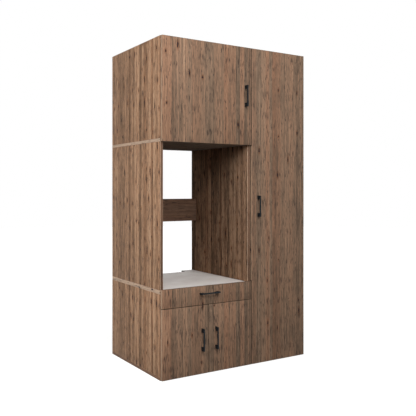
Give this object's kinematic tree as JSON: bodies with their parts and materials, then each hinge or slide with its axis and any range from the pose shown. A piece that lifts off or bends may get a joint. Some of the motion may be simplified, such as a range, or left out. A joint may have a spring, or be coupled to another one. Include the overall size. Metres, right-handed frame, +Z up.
{
  "type": "washing machine cabinet",
  "caption": "Tall two-column board cabinet: a washing machine bay over a drawer and doors, an upper cupboard above it and a full-height cupboard beside it.",
  "frame": {"origin": "on the floor, under the middle of the carcass (width and depth without the fronts)", "axes": "+Z up, +X to the right as seen from the front, the fronts face -Y"},
  "size_m": [1.09, 0.75, 2.03],
  "materials": {
    "front_decor": "textured rustic pine decor on chipboard, grain upright",
    "carcass_decor": "textured rustic pine decor on chipboard, lighter edge bands",
    "platform_laminate": "pale grey worktop laminate, satin",
    "back_hardboard": "thin hardboard, painted pale on the inside",
    "drawer_box_board": "white melamine on chipboard",
    "black_coat": "matt black powder coat",
    "nickel_steel": "nickel-plated pressed steel",
    "zinc_steel": "bright zinc-plated steel"
  },
  "bodies": {
    "carcass": {"base_back_panel": "back_hardboard", "base_bottom_board": "carcass_decor", "base_left_side": "carcass_decor", "base_right_side": "carcass_decor", "bay_left_side": "carcass_decor", "bay_rear_rail": "carcass_decor", "bay_right_side": "carcass_decor", "drawer_rail": "carcass_decor", "drawer_slide_outer": "zinc_steel", "hinge_arms": "nickel_steel", "hinge_plates": "nickel_steel", "platform_board": "platform_laminate", "shelf_pins": "zinc_steel", "tall_back_panel": "back_hardboard", "tall_bottom_board": "carcass_decor", "tall_fixed_shelf": "carcass_decor", "tall_left_side": "carcass_decor", "tall_right_side": "carcass_decor", "tall_shelf_high": "carcass_decor", "tall_shelf_low": "carcass_decor", "tall_shelf_middle": "carcass_decor", "tall_top_board": "carcass_decor", "unit_connectors": "zinc_steel", "upper_back_panel": "back_hardboard", "upper_bottom_board": "carcass_decor", "upper_left_side": "carcass_decor", "upper_right_side": "carcass_decor", "upper_shelf": "carcass_decor", "upper_top_board": "carcass_decor", "wall_brackets": "zinc_steel"},
    "base_left_leaf": {"base_left_door": "front_decor", "base_left_handle": "black_coat", "base_left_handle_screws": "zinc_steel", "base_left_hinge_cups": "nickel_steel"},
    "base_left_links": {"base_left_hinge_links": "nickel_steel"},
    "base_right_leaf": {"base_right_door": "front_decor", "base_right_handle": "black_coat", "base_right_handle_screws": "zinc_steel", "base_right_hinge_cups": "nickel_steel"},
    "base_right_links": {"base_right_hinge_links": "nickel_steel"},
    "upper_leaf": {"upper_door": "front_decor", "upper_handle": "black_coat", "upper_handle_screws": "zinc_steel", "upper_hinge_cups": "nickel_steel"},
    "upper_links": {"upper_hinge_links": "nickel_steel"},
    "tall_leaf": {"tall_door": "front_decor", "tall_handle": "black_coat", "tall_handle_screws": "zinc_steel", "tall_hinge_cups": "nickel_steel"},
    "tall_links": {"tall_hinge_links": "nickel_steel"},
    "drawer": {"drawer_front": "front_decor", "drawer_left_side": "drawer_box_board", "drawer_right_side": "drawer_box_board", "drawer_back": "drawer_box_board", "drawer_bottom": "back_hardboard", "drawer_handle": "black_coat", "drawer_handle_screws": "zinc_steel", "drawer_slide_inner": "zinc_steel"},
    "slide_middles": {"drawer_slide_middle": "zinc_steel"}
  },
  "joints": [
    {"name": "base_left_hinge", "type": "hinge", "parent": "carcass", "child": "base_left_leaf", "pos_m": [-0.53705, -0.36505, 0.21125], "axis": [0, 0, -1], "range_deg": [0, 95]},
    {"name": "base_left_link_pivot", "type": "hinge", "parent": "carcass", "child": "base_left_links", "pos_m": [-0.509, -0.356, 0.21125], "axis": [0, 0, 1], "range_deg": [0, 26.7]},
    {"name": "base_right_hinge", "type": "hinge", "parent": "carcass", "child": "base_right_leaf", "pos_m": [0.09705, -0.36505, 0.21125], "axis": [0, 0, 1], "range_deg": [0, 95]},
    {"name": "base_right_link_pivot", "type": "hinge", "parent": "carcass", "child": "base_right_links", "pos_m": [0.069, -0.356, 0.21125], "axis": [0, 0, -1], "range_deg": [0, 26.7]},
    {"name": "upper_hinge", "type": "hinge", "parent": "carcass", "child": "upper_leaf", "pos_m": [-0.53705, -0.36505, 1.71775], "axis": [0, 0, -1], "range_deg": [0, 95]},
    {"name": "upper_link_pivot", "type": "hinge", "parent": "carcass", "child": "upper_links", "pos_m": [-0.509, -0.356, 1.71775], "axis": [0, 0, 1], "range_deg": [0, 26.7]},
    {"name": "tall_hinge", "type": "hinge", "parent": "carcass", "child": "tall_leaf", "pos_m": [0.53705, -0.36505, 1.01575], "axis": [0, 0, 1], "range_deg": [0, 95]},
    {"name": "tall_link_pivot", "type": "hinge", "parent": "carcass", "child": "tall_links", "pos_m": [0.509, -0.356, 1.01575], "axis": [0, 0, -1], "range_deg": [0, 26.7]},
    {"name": "drawer_slide", "type": "slide", "parent": "carcass", "child": "drawer", "axis": [0, -1, 0], "range_m": [0, 0.45]},
    {"name": "slide_middle_travel", "type": "slide", "parent": "carcass", "child": "slide_middles", "axis": [0, -1, 0], "range_m": [0, 0.225]}
  ],
  "couplings": [
    {"joint": "base_left_link_pivot", "follows": "base_left_hinge", "ratio": 0.281},
    {"joint": "base_right_link_pivot", "follows": "base_right_hinge", "ratio": 0.281},
    {"joint": "upper_link_pivot", "follows": "upper_hinge", "ratio": 0.281},
    {"joint": "tall_link_pivot", "follows": "tall_hinge", "ratio": 0.281},
    {"joint": "slide_middle_travel", "follows": "drawer_slide", "ratio": 0.5}
  ]
}
